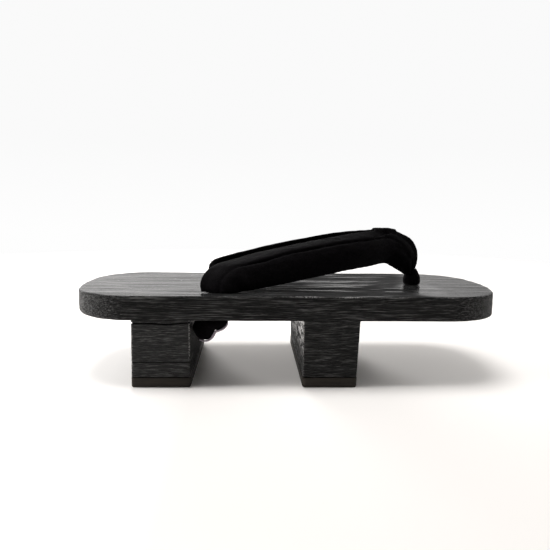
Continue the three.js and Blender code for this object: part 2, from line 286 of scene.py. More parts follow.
def wood_roughness(tree, wood, end_roughness):
    """Rough sides, and a polished top that is rubbed dull in streaks but glossy beside the toe post."""
    matt = map_range(tree, wood.grain, 0.35, 0.65, 0.62, 0.4)
    on_strokes, between = end_roughness
    strokes = map_range(tree, wood.feathered, 0.0, 1.0, between, on_strokes)
    low_down = fade(tree, wood.spot["Z"], LOW_ENDS_DULL, 0.0, 0.5)
    side = mix_values(tree, wood.end_face, matt, math_node(tree, "ADD", strokes, low_down))

    gloss = map_range(tree, wood.grain, 0.3, 0.7, 0.24, 0.12)
    along = wood.spot["X"]
    middle = math_node(tree, "MULTIPLY", fade(tree, along, RUBBED_FROM), fade(tree, along, RUBBED_TO))
    streaks = stretched_noise(tree, wood.bent, (45, 5, 5), distortion=0.3)
    strength = map_range(tree, middle, 0.0, 1.0, 0.03, 0.5)
    dulled = math_node(tree, "MULTIPLY", map_range(tree, streaks, 0.38, 0.47), strength)
    centre = (FRONT_HOLE_X * MM, GLOSSY_ACROSS * MM, 0)
    scale = (1 / (GLOSSY_RADII[0] * MM), 1 / (GLOSSY_RADII[1] * MM), 0)
    oval = vector_math(tree, "MULTIPLY", vector_math(tree, "SUBTRACT", wood.place, centre), scale)
    kept = map_range(tree, vector_math(tree, "LENGTH", oval), 0.7, 1.2, 0.3, 1.0)
    top = math_node(tree, "MULTIPLY", math_node(tree, "ADD", gloss, dulled), kept)

    share = mix_values(tree, wood.polished, side, top)
    return math_node(tree, "ADD", share, map_range(tree, wood.bands, 0.3, 0.7, 0.05, -0.04))


def wood_material(
    name, streak, pitch, waviness, dark, light, depth, end_depth=0.9, end_light=0.04,
    end_roughness=(0.5, 0.5), joints=(), cracked_heel=False,
):
    """Black stained wood with brushed grain along X, polished where it looks up and rough elsewhere.

    streak and pitch are the grain's length and spacing and waviness how far it strays, in millimetres. dark
    and light are the colours of its furrows and ridges, and depth is the strength of its bumps. end_depth,
    end_light and end_roughness belong to the faces across the grain, the last on feathered strokes and
    between them; end_light is the grey of a painted reflection on the strokes high on those faces. joints
    are the heights of dark lines, each with how far it wanders and its half width.
    """
    material, tree, shader = new_material(name)
    wood = wood_pattern(tree, streak, pitch, waviness)
    colour = wood_colour(tree, wood, dark, light, end_light)
    if cracked_heel:
        colour = add_flakes(tree, wood, colour)
    for level, wander, half_width in joints:
        colour = add_joint(tree, wood, colour, level, wander, half_width)
    tree.links.new(colour, shader.inputs["Base Color"])
    tree.links.new(wood_roughness(tree, wood, end_roughness), shader.inputs["Roughness"])
    shader.inputs["Specular IOR Level"].default_value = 0.18

    height = math_node(tree, "ADD", wood.lines, math_node(tree, "MULTIPLY", wood.fibre, 0.45))
    height = math_node(tree, "ADD", height, math_node(tree, "MULTIPLY", wood.feathered, 2.5))
    upright = map_range(tree, wood.end_face, 0.0, 1.0, depth, end_depth)
    set_bump(tree, shader, height, mix_values(tree, wood.polished, upright, 0.07), 0.5)
    return material


# Rubber and cloth

def rubber_material():
    material, tree, shader = new_material("tread_rubber")
    place = add_node(tree, "ShaderNodeTexCoord").outputs["Object"]
    mottle = stretched_noise(tree, place, (24, 24, 2.2), detail=4.0)
    specks = stretched_noise(tree, place, (0.5, 0.5, 0.5), detail=2.0)
    colour = mix_colour(tree, map_range(tree, mottle, 0.3, 0.7), grey(0.01, 0.2), grey(0.029, 0.18))
    tree.links.new(colour, shader.inputs["Base Color"])
    tree.links.new(map_range(tree, mottle, 0.3, 0.7, 0.6, 0.8), shader.inputs["Roughness"])
    shader.inputs["Specular IOR Level"].default_value = 0.2
    set_bump(tree, shader, specks, 0.35, 0.12)
    return material


def cloth_material(name, dark, light, sheen):
    """Matt cloth with a short nap."""
    material, tree, shader = new_material(name)
    place = add_node(tree, "ShaderNodeTexCoord").outputs["Object"]
    nap = stretched_noise(tree, place, (0.8, 0.8, 0.8), roughness=0.7)
    mottle = stretched_noise(tree, place, (5, 5, 3))
    nap_share = math_node(tree, "MULTIPLY", nap, 0.6)
    share = math_node(tree, "ADD", nap_share, math_node(tree, "MULTIPLY", mottle, 0.4))
    colour = mix_colour(tree, map_range(tree, share, 0.38, 0.62), plum(dark), plum(light))
    tree.links.new(colour, shader.inputs["Base Color"])
    shader.inputs["Roughness"].default_value = 0.95
    shader.inputs["Specular IOR Level"].default_value = 0.03
    shader.inputs["Sheen Weight"].default_value = sheen
    shader.inputs["Sheen Roughness"].default_value = 0.45
    set_bump(tree, shader, nap, 0.8, 0.35)
    return material


# Meshes from arrays of points in millimetres

def make_piece(name, points, faces, material, slot, replaced):
    mesh = bpy.data.meshes.new(name)
    mesh.from_pydata((np.asarray(points) * MM).tolist(), [], faces)
    mesh.validate()
    return finish_piece(new_object(name, mesh), material, replaced)


def finish_piece(piece, material, replaced):
    piece.data.materials.clear()
    piece.data.materials.append(material)
    piece.data.shade_smooth()
    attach(piece, BODY)
    if replaced:
        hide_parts(*replaced)
    return piece


def set_attribute(mesh, name, values):
    attribute = mesh.attributes.new(name, "FLOAT", "POINT")
    attribute.data.foreach_set("value", np.asarray(values, np.float32))


def noise_at(points, lengths, seed=0.0):
    """Smooth noise from -1 to 1, with features of these lengths in millimetres."""
    scaled = np.asarray(points) / np.asarray(lengths, float) + seed
    return np.array([noise.noise(Vector(p)) for p in scaled])


def mesh_points(mesh):
    flat = np.zeros(len(mesh.vertices) * 3)
    mesh.vertices.foreach_get("co", flat)
    return flat.reshape(-1, 3) / MM


def mesh_normals(mesh):
    flat = np.zeros(len(mesh.vertices) * 3)
    mesh.vertex_normals.foreach_get("vector", flat)
    return flat.reshape(-1, 3)


def set_points(mesh, points):
    mesh.vertices.foreach_set("co", (np.asarray(points) * MM).ravel())
    mesh.update()


def push_out(mesh, depth):
    """Moves each point along its normal, by the millimetres that depth gives for the points."""
    points = mesh_points(mesh)
    set_points(mesh, points + mesh_normals(mesh) * depth(points)[:, None])


def smooth_step(value, low, high):
    share = np.clip((np.asarray(value, float) - low) / (high - low), 0, 1)
    return share * share * (3 - 2 * share)


def full_turn(count):
    return np.linspace(0, 2 * math.pi, count, endpoint=False)


def circle(x, y, height, radius, sides):
    turns = full_turn(sides)
    return np.column_stack([x + radius * np.cos(turns), y + radius * np.sin(turns), np.full(sides, height)])


def top_relief(points):
    """Height in millimetres of the low waves that the plane left on the top of the board."""
    broad = noise_at(points, (42, 8, 8), 12.0)
    narrow = noise_at(points, (20, 3.4, 3.4), 13.0)
    return 0.24 * broad + 0.08 * narrow


def wood_relief(points):
    """Height in millimetres of the brushed grain, which runs along X."""
    sway = noise_at(points, (40, 30, 30), 7.0)
    bent = np.array(points, float)
    bent[:, 1] += 1.2 * sway
    bent[:, 2] += 1.2 * sway
    fine = noise_at(bent, (16, 1.5, 1.1))
    wide = noise_at(bent, (60, 5, 4), 3.0)
    return 1.6 * (0.07 * fine + 0.06 * wide)


# Deck

def end_curve(columns, corner, end):
    """Reach and outward normal of a rounded end at each column of Y, at the rim of the board."""
    side = DECK_HIGH[1] - corner
    half = math.asin(side / (end - corner))
    end_centre = DECK_HIGH[0] - end
    corner_centre = end_centre + (end - corner) * math.cos(half)
    points, normals = [], []
    for y in columns:
        if abs(y) <= end * math.sin(half):
            centre, middle, radius = end_centre, 0.0, end
        else:
            centre, middle, radius = corner_centre, math.copysign(side, y), corner
        across = y - middle
        forward = math.sqrt(max(radius**2 - across**2, 0.0))
        points.append((centre + forward, y))
        normals.append((forward / radius, across / radius))
    return np.array(points), np.array(normals)


# Points of the board: how far the outer columns lie from its side, and how many other points there are

SIDE_STEPS = [0, 0.02, 0.08, 0.2, 0.4, 0.7, 1.15, 1.7, 2.3]
MIDDLE_COLUMNS = 149
DECK_ROWS = 110
DECK_SIDE_ROWS = 26
ROUND_STEPS = 5

# Share of the side's lower rounding that is left out beside the front tooth, and how softly, in millimetres

TOOTH_FLUSH, TOOTH_FADE = 0.96, 1.5


def deck_columns():
    """Columns across the deck, close together at the sides where the outline turns."""
    outer = DECK_HIGH[1] - np.array(SIDE_STEPS)
    middle = np.linspace(-outer[-1], outer[-1], MIDDLE_COLUMNS)
    return np.concatenate([-outer[:-1], middle, outer[-2::-1]])


def front_tooth_share(x):
    """1 beside the front tooth, which is one piece with the board, and 0 away from it."""
    low, high = node_box("front_tooth")
    starts = smooth_step(x, low[0] - TOOTH_FADE, low[0])
    return starts * (1 - smooth_step(x, high[0], high[0] + TOOTH_FADE))


def deck_ends(columns):
    """The heel's rim and the toe's at each column of Y, each with its outward normals."""
    toe, toe_normal = end_curve(columns, TOE_CORNER, TOE_END)
    heel, heel_normal = end_curve(columns, HEEL_CORNER, HEEL_END)
    heel, heel_normal = heel * (-1, 1), heel_normal * (-1, 1)
    return heel, heel_normal, toe, toe_normal


def no_inset(points, normals):
    return np.zeros(len(points))


def top_inset(points, normals):
    return np.full(len(points), TOP_ROUND)


def bottom_inset(points, normals):
    """The lower rounding, which the board hardly has beside the front tooth."""
    ends = np.where(normals[:, 0] < 0, HEEL_BOTTOM_ROUND, TOE_BOTTOM_ROUND)
    share = smooth_step(abs(normals[:, 0]), 0, 1)
    side = SIDE_BOTTOM_ROUND * (1 - TOOTH_FLUSH * front_tooth_share(points[:, 0]))
    return side + (ends - side) * share


def deck_geometry():
    """The board as a grid on its top and its underside, and rings round its side from one to the other."""
    columns = deck_columns()
    heel, heel_normal, toe, toe_normal = deck_ends(columns)
    shares = np.linspace(0, 1, DECK_ROWS + 1)
    count_x, count_y = len(shares), len(columns)

    def grid(inset_of, height):
        """A cap: the rows run from the heel's rim to the toe's, each rim pulled in by its own inset."""
        heel_rim = heel - heel_normal * inset_of(heel, heel_normal)[:, None]
        toe_rim = toe - toe_normal * inset_of(toe, toe_normal)[:, None]
        flat = heel_rim[None] + (toe_rim - heel_rim)[None] * shares[:, None, None]
        for j, side in ((0, -1), (count_y - 1, 1)):
            normal = np.tile((0.0, side), (count_x, 1))
            flat[:, j, 1] = side * (DECK_HIGH[1] - inset_of(flat[:, j], normal))
        level = np.full((count_x, count_y, 1), height)
        return np.concatenate([flat, level], axis=2)

    top = grid(top_inset, DECK_TOP)
    bottom = grid(bottom_inset, DECK_BOTTOM)
    around = (
        [(i, 0) for i in range(count_x)]
        + [(count_x - 1, j) for j in range(1, count_y)]
        + [(i, count_y - 1) for i in range(count_x - 2, -1, -1)]
        + [(0, j) for j in range(count_y - 2, 0, -1)]
    )
    normals = np.zeros((count_x, count_y, 2))
    normals[0], normals[-1] = heel_normal, toe_normal
    normals[:, 0], normals[:, -1] = (0, -1), (0, 1)
    rows, places = np.array(around).T
    rim = grid(no_inset, 0.0)[rows, places, :2]
    normal = normals[rows, places]

    def rounded(inset, angle, level, up):
        """The rim at this angle of its rounded edge, which is upright at a quarter turn."""
        flat = rim - normal * (inset * (1 - math.sin(angle)))[:, None]
        height = level + up * inset * (1 - math.cos(angle))
        return np.column_stack([flat, height])

    steps = [math.pi / 2 * k / ROUND_STEPS for k in range(1, ROUND_STEPS + 1)]
    rings = [rounded(top_inset(rim, normal), angle, DECK_TOP, -1) for angle in steps]
    lower_rings = [rounded(bottom_inset(rim, normal), angle, DECK_BOTTOM, 1) for angle in reversed(steps)]
    upper, lower = rings[-1], lower_rings[0]
    for k in range(1, DECK_SIDE_ROWS):
        rings.append(upper + (lower - upper) * k / DECK_SIDE_ROWS)
    rings += lower_rings

    points = [*top.reshape(-1, 3), *bottom.reshape(-1, 3)]
    top_index = np.arange(count_x * count_y).reshape(count_x, count_y)
    bottom_index = top_index + count_x * count_y
    faces = []
    for i in range(count_x - 1):
        for j in range(count_y - 1):
            faces.append([top_index[k] for k in ((i, j), (i + 1, j), (i + 1, j + 1), (i, j + 1))])
            faces.append([bottom_index[k] for k in ((i, j), (i, j + 1), (i + 1, j + 1), (i + 1, j))])
    loops = [[top_index[k] for k in around]]
    for ring in rings:
        loops.append(list(range(len(points), len(points) + len(ring))))
        points += list(ring)
    loops.append([bottom_index[k] for k in around])
    faces += band_faces(loops)
    return np.array(points), [[int(k) for k in face] for face in faces]


def band_faces(loops):
    """Quads between rings of vertex numbers that follow each other."""
    faces = []
    for above, below in zip(loops, loops[1:]):
        count = len(above)
        for i in range(count):
            after = (i + 1) % count
            faces.append([above[i], below[i], below[after], above[after]])
    return faces


def cut_holes(piece):
    """Bores the three holes through the board."""
    holes = [
        (FRONT_HOLE_X, 0.0, FRONT_HOLE_RADIUS),
        (REAR_HOLE_X, -REAR_HOLE_Y, REAR_HOLE_RADIUS),
        (REAR_HOLE_X, REAR_HOLE_Y, REAR_HOLE_RADIUS),
    ]
    bits = bmesh.new()
    depth = (DECK_TOP - DECK_BOTTOM) * 2
    for x, y, radius in holes:
        place = Matrix.Translation(Vector((x, y, (DECK_TOP + DECK_BOTTOM) / 2)) * MM)
        size = {"radius1": radius * MM, "radius2": radius * MM, "depth": depth * MM}
        bmesh.ops.create_cone(bits, cap_ends=True, segments=40, matrix=place, **size)
    mesh = bpy.data.meshes.new("bits")
    bits.to_mesh(mesh)
    bits.free()
    tool = new_object("bits", mesh)
    cut = piece.modifiers.new("holes", "BOOLEAN")
    cut.operation, cut.solver, cut.object = "DIFFERENCE", "EXACT", tool
    apply_modifiers(piece)
    bpy.data.objects.remove(tool)


def apply_modifiers(piece):
    graph = bpy.context.evaluated_depsgraph_get()
    made = bpy.data.meshes.new_from_object(piece.evaluated_get(graph))
    old = piece.data
    piece.modifiers.clear()
    piece.data = made
    bpy.data.meshes.remove(old)


def make_deck(material):
    points, faces = deck_geometry()
    piece = make_piece("deck_board", points, faces, material, "stained_wood", ["deck"])
    normals = mesh_normals(piece.data)
    looks_up = smooth_step(normals[:, 2], 0.5, 0.95)
    height = wood_relief(points) * (1 - looks_up) + top_relief(points) * looks_up
    set_points(piece.data, points + normals * height[:, None])
    cut_holes(piece)
    # Pale specks on the top rim: partly rubbed bare wood, partly painted highlight glints.
    set_attribute(piece.data, "wear_and_glints", rim_wear_and_glints(mesh_points(piece.data), mesh_normals(piece.data)))
    piece.data.shade_smooth()


def rim_wear_and_glints(points, normals):
    """From 0 to 1, in patches on the rounded rim at the top of the board and most along its middle: pale
    specks that are partly rubbed bare wood and partly a painted highlight for the glints of the rounded
    edge.
    """
    up = normals[:, 2]
    near_top = 1 - smooth_step(DECK_TOP - points[:, 2], 0.7, 1.2)
    on_edge = smooth_step(up, 0.25, 0.5) * (1 - smooth_step(up, 0.9, 0.97)) * near_top
    patches = smooth_step(noise_at(points, (14, 9, 9), 5.0), -0.35, 0.25)
    x = points[:, 0]
    most_rubbed_and_glinting = smooth_step(x, -5, 12) * (1 - smooth_step(x, 34, 62))
    return on_edge * patches * (0.25 + 0.75 * most_rubbed_and_glinting)


# Teeth, lift and treads

BLOCK_STEP = 0.9
CORNER_SHARES = [0.0, 0.3, 0.65]
FINE_STEP = 0.14


def block_geometry(low, high, rounds, slope=0.0, fine_rows=()):
    """A box with rounded edges as an even grid. rounds are the radii of the upright, top and bottom edges,
    slope is how far the front face leans back at the bottom, and fine_rows are heights of extra rows."""
    upright, at_top, at_bottom = rounds
    low, high = np.array(low, float), np.array(high, float)
    size = high - low

    def marks(length, radius_low, radius_high):
        inner = max(int(round((length - radius_low - radius_high) / BLOCK_STEP)), 1)
        first = [radius_low * share for share in CORNER_SHARES]
        last = [length - radius_high * share for share in reversed(CORNER_SHARES)]
        return np.array([*first, *np.linspace(radius_low, length - radius_high, inner + 1), *last])

    along = marks(size[0], upright, upright)
    across = marks(size[1], upright, upright)
    up = np.unique(np.round([*marks(size[2], at_bottom, at_top), *(z - low[2] for z in fine_rows)], 4))
    index, points = {}, []
    limits = (len(along) - 1, len(across) - 1, len(up) - 1)

    def vertex(i, j, k):
        if (i, j, k) not in index:
            index[i, j, k] = len(points)
            points.append(low + (along[i], across[j], up[k]))
        return index[i, j, k]

    faces = []
    for axis in range(3):
        first, second = [a for a in range(3) if a != axis]
        for end in (0, limits[axis]):
            for p in range(limits[first]):
                for q in range(limits[second]):
                    corners = []
                    for dp, dq in ((0, 0), (1, 0), (1, 1), (0, 1)):
                        key = [0, 0, 0]
                        key[axis], key[first], key[second] = end, p + dp, q + dq
                        corners.append(vertex(*key))
                    outward = (end > 0) == (axis != 1)
                    faces.append(corners if outward else corners[::-1])
    points = round_upright(np.array(points), low, high, upright)
    edge = np.where(points[:, 2] > (low[2] + high[2]) / 2, at_top, at_bottom)
    points = round_level(points, low, high, edge)
    down = (high[2] - points[:, 2]) / size[2]
    forward = (points[:, 0] - low[0]) / size[0]
    points[:, 0] -= slope * down * forward
    return points, faces


def round_upright(points, low, high, radius):
    """Rounds the four upright edges."""
    made = points.copy()
    inner = np.clip(points[:, :2], low[:2] + radius, high[:2] - radius)
    offset = points[:, :2] - inner
    corner = (abs(offset) > 0).all(axis=1)
    length = np.where(corner, np.hypot(*offset.T), 1)
    scale = np.where(corner, abs(offset).max(axis=1) / length, 1)
    made[:, :2] = inner + offset * scale[:, None]
    return made


def round_level(points, low, high, radius):
    """Rounds the edges at the top and the bottom, all the way round, by a radius for each point."""
    made = points.copy()
    middle, half = (low + high) / 2, (high - low) / 2
    rise = points[:, 2] - np.clip(points[:, 2], low[2] + radius, high[2] - radius)
    pull = radius * (1 - np.sqrt(np.clip(1 - (rise / radius) ** 2, 0, 1)))
    for axis in (0, 1):
        offset = points[:, axis] - middle[axis]
        near = np.clip(1 - (half[axis] - abs(offset)) / radius, 0, 1)
        made[:, axis] -= np.sign(offset) * pull * near
    return made


# The dark wavy joint on the rear tooth under the board, and the gap that shows as a glue line

JOINT_LEVEL, JOINT_WANDER, JOINT_HALF_WIDTH, JOINT_DEPTH = DECK_BOTTOM - 1.7, 0.55, 0.36, 1.8
GLUE_GAP = 0.16


def wavy_joint_depth(points):
    """Depth of the groove in millimetres. The factor of 1.6 brings the noise to about -1 to 1."""
    line = JOINT_LEVEL + JOINT_WANDER * noise_at(points * (1, 1, 0), (13, 30, 9), 15.0) * 1.6
    return JOINT_DEPTH * np.exp(-(((points[:, 2] - line) / JOINT_HALF_WIDTH) ** 2))


def make_block(name, node, rounds, material, slot, relief, slope=0.0, wear_and_glints=0.4, gaps=(0, 0), jointed=False):
    """A block in place of a node. gaps are how far it stays short of its neighbours below and above, and
    the keyword after slope sets how strongly its corners and the foot of its front face take pale specks,
    partly rubbed bare wood and partly painted highlight glints."""
    low, high = node_box(node)
    fine_rows = []
    if jointed:
        reach = JOINT_WANDER + 2 * JOINT_HALF_WIDTH
        fine_rows = np.arange(JOINT_LEVEL - reach, JOINT_LEVEL + reach, FINE_STEP)
    seated = (low + (0, 0, gaps[0]), high - (0, 0, gaps[1]))
    points, faces = block_geometry(*seated, rounds, slope, fine_rows)
    piece = make_piece(name, points, faces, material, slot, [node])
    normals = mesh_normals(piece.data)
    height = relief(points)
    if jointed:
        height -= wavy_joint_depth(points) * (1 - abs(normals[:, 2]))
    set_points(piece.data, points + normals * height[:, None])
    set_attribute(piece.data, "wear_and_glints", wear_and_glints * corner_wear_and_glints(points, low, high))


def corner_wear_and_glints(points, low, high):
    """From 0 to 1, in patches on the upright corners and along the foot of the front face: pale specks that
    are partly rubbed bare wood and partly painted highlight glints on those edges.
    """
    to_front = high[0] - points[:, 0]
    to_end = np.minimum(to_front, points[:, 0] - low[0])
    upright = (1 - smooth_step(to_end, 0.1, 1.1)) * (1 - smooth_step(high[1] - abs(points[:, 1]), 0.1, 1.1))
    foot = (1 - smooth_step(points[:, 2] - low[2], 0.1, 0.9)) * (1 - smooth_step(to_front, 0.1, 0.8))
    patches = smooth_step(noise_at(points, (9, 9, 12), 2.0), -0.5, 0.1)
    return np.maximum(upright, 0.7 * foot) * patches


def rubber_relief(points):
    return 0.05 * noise_at(points, (12, 12, 5), 11.0)


# Strap. Each row is a section from its low edge to its top edge. Along and across places are shares of the
# way from the rear hole to the front one and of the rear hole's distance from the middle, heights are
# shares of STRAP_RISE over the deck, pad is a share of STRAP_PAD, fold is how far the band is bent and bend
# is how far up the band its crease lies.
# Columns: low along, low across, low height, top along, top across, top height, pad, fold, bend

STRAP_ROWS = np.array([
    (0.110, 1.090, 0.000, -0.070, 1.070, 0.000, 0.86, 0.00, 0.50),
    (0.112, 1.100, 0.010, -0.075, 1.010, 0.120, 0.92, 0.00, 0.50),
    (0.120, 1.110, 0.020, -0.066, 0.870, 0.240, 0.97, 0.10, 0.48),
    (0.135, 1.110, 0.030, -0.042, 0.660, 0.335, 1.00, 0.40, 0.44),
    (0.155, 1.110, 0.035, -0.005, 0.510, 0.395, 1.00, 0.80, 0.40),
    (0.180, 1.100, 0.050, 0.050, 0.450, 0.450, 1.00, 1.00, 0.37),
    (0.230, 1.070, 0.080, 0.120, 0.420, 0.520, 1.00, 1.00, 0.38),
    (0.300, 1.020, 0.120, 0.220, 0.400, 0.610, 1.00, 1.00, 0.43),
    (0.390, 0.950, 0.180, 0.330, 0.400, 0.700, 1.00, 1.00, 0.50),
    (0.490, 0.865, 0.238, 0.450, 0.400, 0.790, 1.00, 1.00, 0.53),
    (0.585, 0.757, 0.295, 0.565, 0.390, 0.870, 1.00, 1.00, 0.58),
    (0.670, 0.610, 0.335, 0.665, 0.330, 0.928, 1.00, 0.90, 0.65),
    (0.750, 0.430, 0.360, 0.755, 0.200, 0.965, 0.98, 0.60, 0.70),
    (0.810, 0.270, 0.385, 0.830, 0.070, 0.995, 0.96, 0.30, 0.71),
    (0.845, 0.170, 0.385, 0.900, 0.030, 0.970, 0.95, 0.15, 0.70),
    (0.870, 0.125, 0.360, 0.960, 0.022, 0.890, 0.94, 0.05, 0.66),
    (0.890, 0.100, 0.320, 1.000, 0.018, 0.780, 0.93, 0.00, 0.60),
    (0.917, 0.080, 0.275, 1.025, 0.014, 0.600, 0.90, 0.00, 0.55),
    (0.941, 0.060, 0.220, 1.027, 0.010, 0.430, 0.82, 0.00, 0.50),
    (0.960, 0.043, 0.183, 1.018, 0.010, 0.300, 0.74, 0.00, 0.50),
])

# The padded section as a closed curve, with its outer side first: across runs from the low edge to the top
# edge, and out is a share of the pad

PAD_SECTION = np.array([
    (0.00, 0.00), (0.015, 0.16), (0.05, 0.30), (0.11, 0.43), (0.19, 0.52), (0.28, 0.56),
    (0.37, 0.54), (0.44, 0.49), (0.475, 0.45), (0.50, 0.42), (0.525, 0.43), (0.57, 0.42),
    (0.66, 0.33), (0.77, 0.20), (0.87, 0.11), (0.95, 0.06), (1.00, 0.00), (0.985, -0.09),
    (0.94, -0.17), (0.82, -0.25), (0.62, -0.30), (0.42, -0.32), (0.22, -0.30), (0.08, -0.22),
    (0.02, -0.12),
])
OUTER_ROWS = 17

# The crease's half width up the band, its depth in millimetres and the rows where it starts, how many rows
# away the band's direction is read, and the least height of a point as a share of its low edge's

CREASE_WIDTH, CREASE_DEPTH, CREASE_START = 0.03, 1.5, (3.2, 6.0)
ROW_REACH = 0.7
PRESSED_SHARE = 0.3
STRAP_SINK = 0.2


def through(values, places, closed=False):
    """A smooth curve through rows of values, read at these row places."""
    values = np.asarray(values, float)
    count = len(values)
    made = []
    for place in places:
        base = int(math.floor(place)) if closed else min(int(place), count - 2)
        t = place - base
        keys = np.arange(base - 1, base + 3)
        before, here, after, later = values[keys % count if closed else np.clip(keys, 0, count - 1)]
        made.append(
            0.5 * (2 * here + (after - before) * t
            + (2 * before - 5 * here + 4 * after - later) * t**2
            + (3 * here - before - 3 * after + later) * t**3)
        )
    return np.array(made)


def strap_frame(place):
    """Low edge, way up the band, outward direction and the row's pad, fold and bend, at a row place."""
    span = FRONT_HOLE_X - REAR_HOLE_X

    def edges(at):
        row = through(STRAP_ROWS, [min(max(at, 0), len(STRAP_ROWS) - 1)])[0]
        low, top = (
            np.array([REAR_HOLE_X + along * span, -across * REAR_HOLE_Y, SEAT + height * STRAP_RISE])
            for along, across, height in (row[:3], row[3:6])
        )
        return low, top, row

    low, top, row = edges(place)
    before, after = edges(place - ROW_REACH), edges(place + ROW_REACH)
    along = (after[0] + after[1] - before[0] - before[1]) / 2
    upward = smooth_step(place, 0.0, 1.0)
    along = along / np.linalg.norm(along) * upward + np.array([0.0, 0.0, 1.0]) * (1 - upward)
    outward = np.cross(along, top - low)
    return low, top - low, outward / np.linalg.norm(outward), row[6:9]


def strap_place(place, across, out=None):
    """A point of the right band: place counts rows, across runs up the band, out is a share of the pad."""
    low, up, outward, (pad, fold, bend) = strap_frame(place)
    if out is None:
        keys = PAD_SECTION[:OUTER_ROWS]
        out = np.interp(across, keys[:, 0], keys[:, 1])
    share = across
    if out >= 0:
        share = 2 * across * bend if across <= 0.5 else bend + (2 * across - 1) * (1 - bend)
    bulge = 1 - (2 * across - 1) ** 2
    crease = math.exp(-(((across - 0.5) / CREASE_WIDTH) ** 2)) * (out > 0)
    depth = CREASE_DEPTH * smooth_step(place, *CREASE_START)
    offset = out * pad * STRAP_PAD + fold * (STRAP_BOW * bulge - depth * crease)
    point = low + up * share + outward * offset
    point[2] = max(point[2], SEAT + (low[2] - SEAT) * PRESSED_SHARE)
    return point


STRAP_RINGS, STRAP_SIDES, STRAP_VOXEL = 120, 92, 0.62


def half_strap():
    """The right band as rings, the first of them flat on the board."""
    around = np.linspace(0, len(PAD_SECTION), STRAP_SIDES, endpoint=False)
    section = through(PAD_SECTION, around, closed=True)
    rings = []
    for place in np.linspace(0, len(STRAP_ROWS) - 1, STRAP_RINGS):
        ring = np.array([strap_place(place, across, out) for across, out in section])
        if place == 0:
            ring[:, 2] = SEAT
        rings.append(ring)
    return rings


def loft(rings):
    """A closed body through rings of points, with a fan over each end."""
    count = len(rings[0])
    points = [p for ring in rings for p in ring]
    loops = [[k * count + i for i in range(count)] for k in range(len(rings))]
    faces = band_faces(loops)
    for loop, turned in ((loops[0], False), (loops[-1], True)):
        centre = len(points)
        points.append(np.mean([points[k] for k in loop], axis=0))
        for i in range(count):
            pair = (loop[i], loop[(i + 1) % count])
            faces.append([centre, *(reversed(pair) if turned else pair)])
    return np.array(points), faces


def fuse(name, bodies, voxel, smoothing):
    """One closed skin round overlapping bodies."""
    points, faces = [], []
    for body_points, body_faces in bodies:
        faces += [[k + len(points) for k in face] for face in body_faces]
        points += list(body_points * MM)
    mesh = bpy.data.meshes.new(name)
    mesh.from_pydata(points, [], faces)
    piece = new_object(name, mesh)
    remesh = piece.modifiers.new("skin", "REMESH")
    remesh.mode, remesh.voxel_size, remesh.adaptivity = "VOXEL", voxel * MM, 0.0
    smooth = piece.modifiers.new("smooth", "SMOOTH")
    smooth.factor, smooth.iterations = 0.5, smoothing
    apply_modifiers(piece)
    return piece


def distance_to_line(points, line):
    """Least distance from each point to a line of points, and the share of the line where it is nearest."""
    best = np.full(len(points), np.inf)
    share = np.zeros(len(points))
    for k, (start, end) in enumerate(zip(line, line[1:])):
        way = end - start
        t = np.clip(((points - start) @ way) / (way @ way), 0, 1)
        gap = np.linalg.norm(points - start - t[:, None] * way, axis=1)
        closer = gap < best
        best[closer] = gap[closer]
        share[closer] = (k + t[closer]) / (len(line) - 1)
    return best, share


# Troughs and ridges pressed into the right band, each a line of (row place, share up the band) with its
# half width in millimetres and its height, which is below 0 for a trough

STRAP_FOLDS = [
    ([(5, 0.5), (7, 0.5), (9, 0.5), (11, 0.5), (12, 0.5), (13, 0.51), (13.9, 0.57)], 0.9, -0.7),
    ([(11.9, 0.6), (12.4, 0.68), (12.9, 0.77), (13.4, 0.86)], 1.9, -1.3),
    ([(12.4, 0.99), (13.2, 0.97), (14.2, 0.93)], 2.4, 1.1),
    ([(12.9, 0.64), (13.5, 0.69), (14.3, 0.7)], 0.9, 0.5),
    ([(9.4, 0.95), (9.9, 0.8), (10.2, 0.66)], 1.2, -0.35),
    ([(7.6, 0.95), (8.0, 0.84), (8.4, 0.7)], 1.3, -0.25),
    ([(13.6, 0.12), (14.8, 0.2), (16.4, 0.3)], 1.4, -0.35),
    ([(13.9, 0.36), (15.2, 0.42), (17.0, 0.48)], 1.3, -0.3),
    ([(14.6, 0.8), (15.8, 0.8), (17.4, 0.82)], 1.0, -0.35),
]
FOLD_PARTS = 4

# Pleats of the gathered cloth: their middle is this far behind the front hole, and they fade out with the
# height over the board and with the distance from the neck

PLEATS, PLEAT_DEPTH, PLEATS_BACK = 13, 0.45, 1.0
PLEATS_HIGH, PLEATS_FAR = (9, 24), (10, 17)


def fold_height(points):
    total = np.zeros(len(points))
    for route, width, height in STRAP_FOLDS:
        line = [strap_place(place, across) for place, across in route]
        for side in (-1, 1):
            mirrored = [p * (1, -side, 1) for p in line]
            places = np.linspace(0, len(line) - 1, FOLD_PARTS * (len(line) - 1) + 1)
            gap, share = distance_to_line(points, through(mirrored, places))
            eased = smooth_step(share, 0.0, 0.12) * (1 - smooth_step(share, 0.85, 1.0))
            total += height * eased * np.exp(-((gap / width) ** 2))
    return total


def pleat_height(points):
    """Upright pleats where the cloth is gathered towards the neck."""
    away = points[:, :2] - (FRONT_HOLE_X - PLEATS_BACK, 0)
    turn = np.arctan2(away[:, 1], away[:, 0])
    wander = noise_at(points, (9, 9, 16), 4.0)
    low_down = 1 - smooth_step(points[:, 2] - SEAT, *PLEATS_HIGH)
    near = 1 - smooth_step(np.hypot(*away.T), *PLEATS_FAR)
    return PLEAT_DEPTH * low_down * near * np.sin(PLEATS * turn + 2.2 * wander)


def wrinkle_height(points):
    return 0.2 * noise_at(points, (9, 9, 6), 1.0) + 0.17 * noise_at(points, (4.2, 4, 2.6), 2.0)


